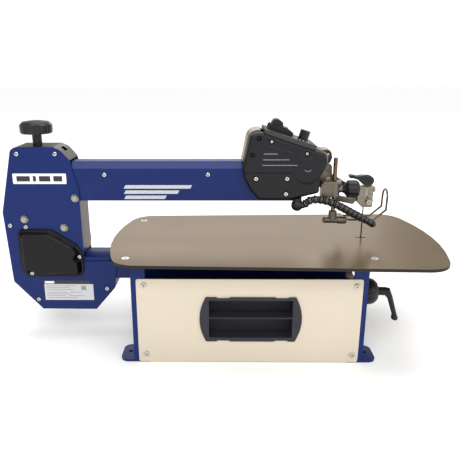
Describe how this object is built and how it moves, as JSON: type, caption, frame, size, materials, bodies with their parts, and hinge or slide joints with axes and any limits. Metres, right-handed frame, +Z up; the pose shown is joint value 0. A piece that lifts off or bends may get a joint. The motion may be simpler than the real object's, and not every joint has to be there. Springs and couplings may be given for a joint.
{
  "type": "scroll saw",
  "caption": "Parallel-link scroll saw with a tilting arm head, fixed flat table on a boxed base, a vertical blade in clamps, hold-down foot, air blower and bench feet.",
  "frame": {"origin": "bench level at the centre of the four mounting holes in the feet", "axes": "+X from the column to the blade end, +Z up, +Y to the motor side, away from the storage tray"},
  "size_m": [0.8655, 0.3656, 0.4529],
  "materials": {
    "blue_paint": "smooth semi-gloss",
    "cream_paint": "smooth satin",
    "charcoal_plastic": "fine grain",
    "black_plastic": "fine grain",
    "table_steel": "ground and oiled",
    "band_steel": "brushed sheet",
    "cast_parts": "as cast",
    "zinc": "bright zinc",
    "steel": "turned",
    "gray_plate": "satin",
    "red_plastic": "gloss",
    "blade_steel": "rolled",
    "wire_steel": "drawn"
  },
  "bodies": {
    "base": {"front_end_frame": "blue_paint", "rear_end_frame": "blue_paint", "base_pan": "blue_paint", "near_side_panel": "cream_paint", "far_side_panel": "cream_paint", "storage_tray": "charcoal_plastic", "base_screws": "zinc", "front_trunnion_plate": "gray_plate", "rear_trunnion_plate": "gray_plate", "tilt_rack_sector": "steel", "table": "table_steel", "table_screws": "zinc"},
    "saw_frame": {"near_column_plate": "blue_paint", "far_column_plate": "blue_paint", "column_cover_band": "band_steel", "column_bolts": "zinc", "frame_screws": "zinc", "upper_arm": "blue_paint", "lower_arm": "blue_paint", "front_tilt_bracket": "gray_plate", "rear_tilt_bracket": "gray_plate", "crank_cover": "charcoal_plastic", "motor_housing": "black_plastic", "motor_end_cap": "black_plastic", "head_casting": "cast_parts", "near_head_cover": "charcoal_plastic", "far_head_cover": "charcoal_plastic", "head_cover_band": "band_steel", "nose_guard": "black_plastic", "control_box": "charcoal_plastic", "switch_housing": "black_plastic", "hold_down_block": "cast_parts", "air_nipple": "black_plastic", "pivot_pins": "zinc"},
    "blade_unit": {"upper_blade_clamp": "steel", "lower_blade_clamp": "steel", "saw_blade": "blade_steel"},
    "upper_front_rocker": {"upper_rocker": "cast_parts"},
    "lower_front_rocker": {"lower_rocker": "cast_parts"},
    "upper_rod": {"upper_push_rod": "steel"},
    "lower_rod": {"lower_push_rod": "steel"},
    "rear_rocker_arm": {"rear_rocker": "cast_parts"},
    "crank_rod": {"connecting_rod": "cast_parts"},
    "rotor": {"motor_rotor": "steel"},
    "tension_handle": {"tension_lever": "black_plastic"},
    "upper_clamp_thumbscrew": {"upper_clamp_screw": "steel"},
    "lower_clamp_thumbscrew": {"lower_clamp_screw": "steel"},
    "hold_down": {"hold_down_rod": "wire_steel", "foot_holder": "cast_parts", "wire_guard": "wire_steel"},
    "hold_down_lock": {"hold_down_knob": "black_plastic"},
    "tilt_handwheel": {"tilt_knob": "black_plastic", "tilt_pinion": "steel"},
    "tilt_lock": {"tilt_lock_lever": "black_plastic"},
    "blade_tension_knob": {"tension_knob": "black_plastic"},
    "speed_dial": {"speed_knob": "black_plastic"},
    "power_paddle": {"switch_paddle": "black_plastic"},
    "safety_key": {"switch_key": "red_plastic"},
    "blower_hose": {"air_elbow": "black_plastic", "air_hose": "black_plastic"}
  },
  "joints": [
    {"name": "head_tilt", "type": "hinge", "parent": "base", "child": "saw_frame", "pos_m": [0, 0, 0.213], "axis": [1, 0, 0], "range_deg": [-45, 45]},
    {"name": "blade_stroke", "type": "slide", "parent": "saw_frame", "child": "blade_unit", "axis": [0, 0, 1], "range_m": [-0.0095, 0.0095]},
    {"name": "upper_front_rocker", "type": "hinge", "parent": "saw_frame", "child": "upper_front_rocker", "pos_m": [0.158, 0, 0.33523], "axis": [0, 1, 0], "range_deg": [-8.16, 8.16]},
    {"name": "lower_front_rocker", "type": "hinge", "parent": "saw_frame", "child": "lower_front_rocker", "pos_m": [0.158, 0, 0.162], "axis": [0, 1, 0], "range_deg": [-8.16, 8.16]},
    {"name": "upper_push_rod", "type": "slide", "parent": "saw_frame", "child": "upper_rod", "axis": [1, 0, 0], "range_m": [-0.00325, 0.00325]},
    {"name": "lower_push_rod", "type": "slide", "parent": "saw_frame", "child": "lower_rod", "axis": [1, 0, 0], "range_m": [-0.00285, 0.00285]},
    {"name": "rear_rocker", "type": "hinge", "parent": "saw_frame", "child": "rear_rocker_arm", "pos_m": [-0.365, 0, 0.243], "axis": [0, 1, 0], "range_deg": [-1.62, 1.62]},
    {"name": "crank_rod", "type": "slide", "parent": "saw_frame", "child": "crank_rod", "axis": [1, 0, 0], "range_m": [-0.00212, 0.00212]},
    {"name": "motor_spin", "type": "hinge", "parent": "saw_frame", "child": "rotor", "pos_m": [-0.406, 0, 0.168], "axis": [0, 1, 0], "continuous": true},
    {"name": "tension_lever", "type": "hinge", "parent": "blade_unit", "child": "tension_handle", "pos_m": [0.24, 0, 0.3325], "axis": [0, 1, 0], "range_deg": [0, 75]},
    {"name": "upper_clamp_screw", "type": "hinge", "parent": "blade_unit", "child": "upper_clamp_thumbscrew", "pos_m": [0.2405, 0, 0.291], "axis": [0, 1, 0], "continuous": true},
    {"name": "lower_clamp_screw", "type": "hinge", "parent": "blade_unit", "child": "lower_clamp_thumbscrew", "pos_m": [0.2405, 0, 0.15], "axis": [0, 1, 0], "continuous": true},
    {"name": "hold_down_slide", "type": "slide", "parent": "saw_frame", "child": "hold_down", "axis": [0, 0, 1], "range_m": [-0.017, 0.016]},
    {"name": "hold_down_knob", "type": "hinge", "parent": "saw_frame", "child": "hold_down_lock", "pos_m": [0.186, -0.024, 0.32], "axis": [1, 0, 0], "continuous": true},
    {"name": "tilt_knob", "type": "hinge", "parent": "saw_frame", "child": "tilt_handwheel", "pos_m": [0.23, 0, 0.094], "axis": [1, 0, 0], "range_deg": [-290, 290]},
    {"name": "tilt_lock", "type": "hinge", "parent": "saw_frame", "child": "tilt_lock", "pos_m": [0.29, 0, 0.094], "axis": [1, 0, 0], "range_deg": [-60, 60]},
    {"name": "blade_tension", "type": "hinge", "parent": "saw_frame", "child": "blade_tension_knob", "pos_m": [-0.413, 0, 0.43], "axis": [0, 0, 1], "range_deg": [-720, 720]},
    {"name": "speed_dial", "type": "hinge", "parent": "saw_frame", "child": "speed_dial", "pos_m": [0.103, -0.012, 0.411], "axis": [0.304, 0, 0.9527], "range_deg": [0, 270]},
    {"name": "power_switch", "type": "hinge", "parent": "saw_frame", "child": "power_paddle", "pos_m": [0.047, 0, 0.4415], "axis": [0, 1, 0], "range_deg": [-25, 2]},
    {"name": "safety_key", "type": "slide", "parent": "saw_frame", "child": "safety_key", "axis": [0.304, 0, 0.9527], "range_m": [0, 0.015]},
    {"name": "blower_swivel", "type": "hinge", "parent": "saw_frame", "child": "blower_hose", "pos_m": [0.095, -0.04, 0.298], "axis": [0, 0, 1], "range_deg": [-40, 0]}
  ],
  "couplings": [
    {"joint": "upper_front_rocker", "follows": "blade_stroke", "rad_per_m": -14.706},
    {"joint": "lower_front_rocker", "follows": "blade_stroke", "rad_per_m": -14.706},
    {"joint": "upper_push_rod", "follows": "blade_stroke", "ratio": -0.33488},
    {"joint": "lower_push_rod", "follows": "blade_stroke", "ratio": 0.29411},
    {"joint": "rear_rocker", "follows": "blade_stroke", "rad_per_m": -2.912},
    {"joint": "crank_rod", "follows": "blade_stroke", "ratio": 0.2184},
    {"joint": "tilt_knob", "follows": "head_tilt", "ratio": 6.4375}
  ]
}
